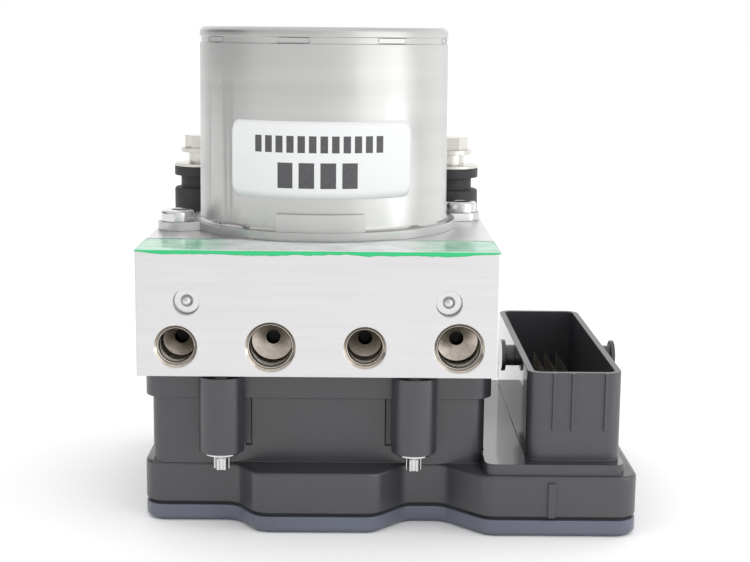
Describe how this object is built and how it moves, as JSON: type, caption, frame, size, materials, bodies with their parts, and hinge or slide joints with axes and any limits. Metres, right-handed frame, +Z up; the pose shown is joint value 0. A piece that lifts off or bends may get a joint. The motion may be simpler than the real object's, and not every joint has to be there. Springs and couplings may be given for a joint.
{
  "type": "anti-lock brake module",
  "caption": "Anti-lock brake module: round pump motor on a drilled metal valve block, over a black plastic control unit with a plug socket.",
  "frame": {"origin": "under the motor axis, on the underside of the control unit's lid", "axes": "+Z up along the motor axis, -Y out of the wheel ports, +X towards the plug socket"},
  "size_m": [0.1344, 0.1005, 0.1349],
  "materials": {
    "block_aluminium": "milled, fine tool lines",
    "piston_aluminium": "turned",
    "can_steel": "zinc plated, satin",
    "zinc_steel": "zinc plated",
    "bright_steel": "bright zinc",
    "spring_steel": "drawn wire",
    "core_steel": "lamination steel",
    "ferrite": "sintered",
    "copper": "enamelled copper",
    "pin_metal": "tin plated",
    "carbon": "carbon",
    "inner_plastic": "moulded",
    "coil_plastic": "wound coil",
    "housing_plastic": "moulded, glass filled",
    "cover_plastic": "moulded, glass filled",
    "board_green": "solder mask",
    "chip_black": "moulded package",
    "label_white": "printed film, bare",
    "green_film": "clear tinted film",
    "mount_rubber": "moulded rubber",
    "seal_rubber": "seal"
  },
  "bodies": {
    "module": {"accumulator_caps": "zinc_steel", "accumulator_spring_left": "spring_steel", "accumulator_spring_right": "spring_steel", "ball_plugs": "bright_steel", "board_components": "chip_black", "brush_holder": "inner_plastic", "brush_springs": "spring_steel", "brushes": "carbon", "circuit_board": "board_green", "circuit_valves": "bright_steel", "coil_yokes": "zinc_steel", "coils": "coil_plastic", "cover_film": "green_film", "hydraulic_block": "block_aluminium", "inlet_valves": "bright_steel", "long_screws": "bright_steel", "lower_bearing": "bright_steel", "magnets": "ferrite", "motor_contact_rod": "inner_plastic", "motor_housing": "can_steel", "motor_label": "label_white", "motor_screws": "bright_steel", "motor_seal": "seal_rubber", "mount_bolts": "zinc_steel", "mount_sleeves": "zinc_steel", "outlet_valves": "bright_steel", "power_blades": "pin_metal", "pressure_sensor": "zinc_steel", "pump_liners": "bright_steel", "pump_plugs": "bright_steel", "pump_spring_left": "spring_steel", "pump_spring_right": "spring_steel", "rubber_mounts": "mount_rubber", "signal_pins": "pin_metal", "unit_cover": "cover_plastic", "unit_housing": "housing_plastic", "unit_seal": "seal_rubber", "upper_bearing": "bright_steel"},
    "rotor": {"motor_shaft": "bright_steel", "armature_core": "core_steel", "windings": "copper", "commutator": "copper"},
    "eccentric_bearing": {"eccentric_ring": "bright_steel"},
    "piston_left": {"pump_piston_left": "bright_steel"},
    "piston_right": {"pump_piston_right": "bright_steel"},
    "accumulator_left": {"accumulator_piston_left": "piston_aluminium"},
    "accumulator_right": {"accumulator_piston_right": "piston_aluminium"},
    "armature_1": {"valve_armature_1": "core_steel"},
    "armature_2": {"valve_armature_2": "core_steel"},
    "armature_3": {"valve_armature_3": "core_steel"},
    "armature_4": {"valve_armature_4": "core_steel"},
    "armature_5": {"valve_armature_5": "core_steel"},
    "armature_6": {"valve_armature_6": "core_steel"},
    "armature_7": {"valve_armature_7": "core_steel"},
    "armature_8": {"valve_armature_8": "core_steel"},
    "armature_9": {"valve_armature_9": "core_steel"},
    "armature_10": {"valve_armature_10": "core_steel"},
    "armature_11": {"valve_armature_11": "core_steel"},
    "armature_12": {"valve_armature_12": "core_steel"}
  },
  "joints": [
    {"name": "rotor_spin", "type": "hinge", "parent": "module", "child": "rotor", "pos_m": [0, 0, 0.1], "axis": [0, 0, 1], "continuous": true},
    {"name": "eccentric_bearing_spin", "type": "hinge", "parent": "rotor", "child": "eccentric_bearing", "pos_m": [0, 0.0008, 0.0614], "axis": [0, 0, 1], "continuous": true},
    {"name": "pump_stroke_left", "type": "slide", "parent": "module", "child": "piston_left", "axis": [-1, 0, 0], "range_m": [0, 0.0016], "stiffness_N_per_m": 1200, "springref_m": -0.004, "deforming": ["pump_spring_left"]},
    {"name": "pump_stroke_right", "type": "slide", "parent": "module", "child": "piston_right", "axis": [1, 0, 0], "range_m": [0, 0.0016], "stiffness_N_per_m": 1200, "springref_m": -0.004, "deforming": ["pump_spring_right"]},
    {"name": "accumulator_travel_left", "type": "slide", "parent": "module", "child": "accumulator_left", "axis": [0, 1, 0], "range_m": [0, 0.008], "stiffness_N_per_m": 1000, "springref_m": -0.03, "deforming": ["accumulator_spring_left"]},
    {"name": "accumulator_travel_right", "type": "slide", "parent": "module", "child": "accumulator_right", "axis": [0, 1, 0], "range_m": [0, 0.008], "stiffness_N_per_m": 1000, "springref_m": -0.03, "deforming": ["accumulator_spring_right"]},
    {"name": "valve_travel_1", "type": "slide", "parent": "module", "child": "armature_1", "axis": [0, 0, 1], "range_m": [0, 0.0003], "stiffness_N_per_m": 250, "springref_m": -0.006},
    {"name": "valve_travel_2", "type": "slide", "parent": "module", "child": "armature_2", "axis": [0, 0, 1], "range_m": [0, 0.0003], "stiffness_N_per_m": 250, "springref_m": -0.006},
    {"name": "valve_travel_3", "type": "slide", "parent": "module", "child": "armature_3", "axis": [0, 0, 1], "range_m": [0, 0.0003], "stiffness_N_per_m": 250, "springref_m": -0.006},
    {"name": "valve_travel_4", "type": "slide", "parent": "module", "child": "armature_4", "axis": [0, 0, 1], "range_m": [0, 0.0003], "stiffness_N_per_m": 250, "springref_m": -0.006},
    {"name": "valve_travel_5", "type": "slide", "parent": "module", "child": "armature_5", "axis": [0, 0, 1], "range_m": [0, 0.0003], "stiffness_N_per_m": 250, "springref_m": -0.006},
    {"name": "valve_travel_6", "type": "slide", "parent": "module", "child": "armature_6", "axis": [0, 0, 1], "range_m": [0, 0.0003], "stiffness_N_per_m": 250, "springref_m": -0.006},
    {"name": "valve_travel_7", "type": "slide", "parent": "module", "child": "armature_7", "axis": [0, 0, 1], "range_m": [0, 0.0003], "stiffness_N_per_m": 250, "springref_m": -0.006},
    {"name": "valve_travel_8", "type": "slide", "parent": "module", "child": "armature_8", "axis": [0, 0, 1], "range_m": [0, 0.0003], "stiffness_N_per_m": 250, "springref_m": -0.006},
    {"name": "valve_travel_9", "type": "slide", "parent": "module", "child": "armature_9", "axis": [0, 0, 1], "range_m": [0, 0.0003], "stiffness_N_per_m": 250, "springref_m": -0.006},
    {"name": "valve_travel_10", "type": "slide", "parent": "module", "child": "armature_10", "axis": [0, 0, 1], "range_m": [0, 0.0003], "stiffness_N_per_m": 250, "springref_m": -0.006},
    {"name": "valve_travel_11", "type": "slide", "parent": "module", "child": "armature_11", "axis": [0, 0, 1], "range_m": [0, 0.0003], "stiffness_N_per_m": 250, "springref_m": -0.006},
    {"name": "valve_travel_12", "type": "slide", "parent": "module", "child": "armature_12", "axis": [0, 0, 1], "range_m": [0, 0.0003], "stiffness_N_per_m": 250, "springref_m": -0.006}
  ]
}
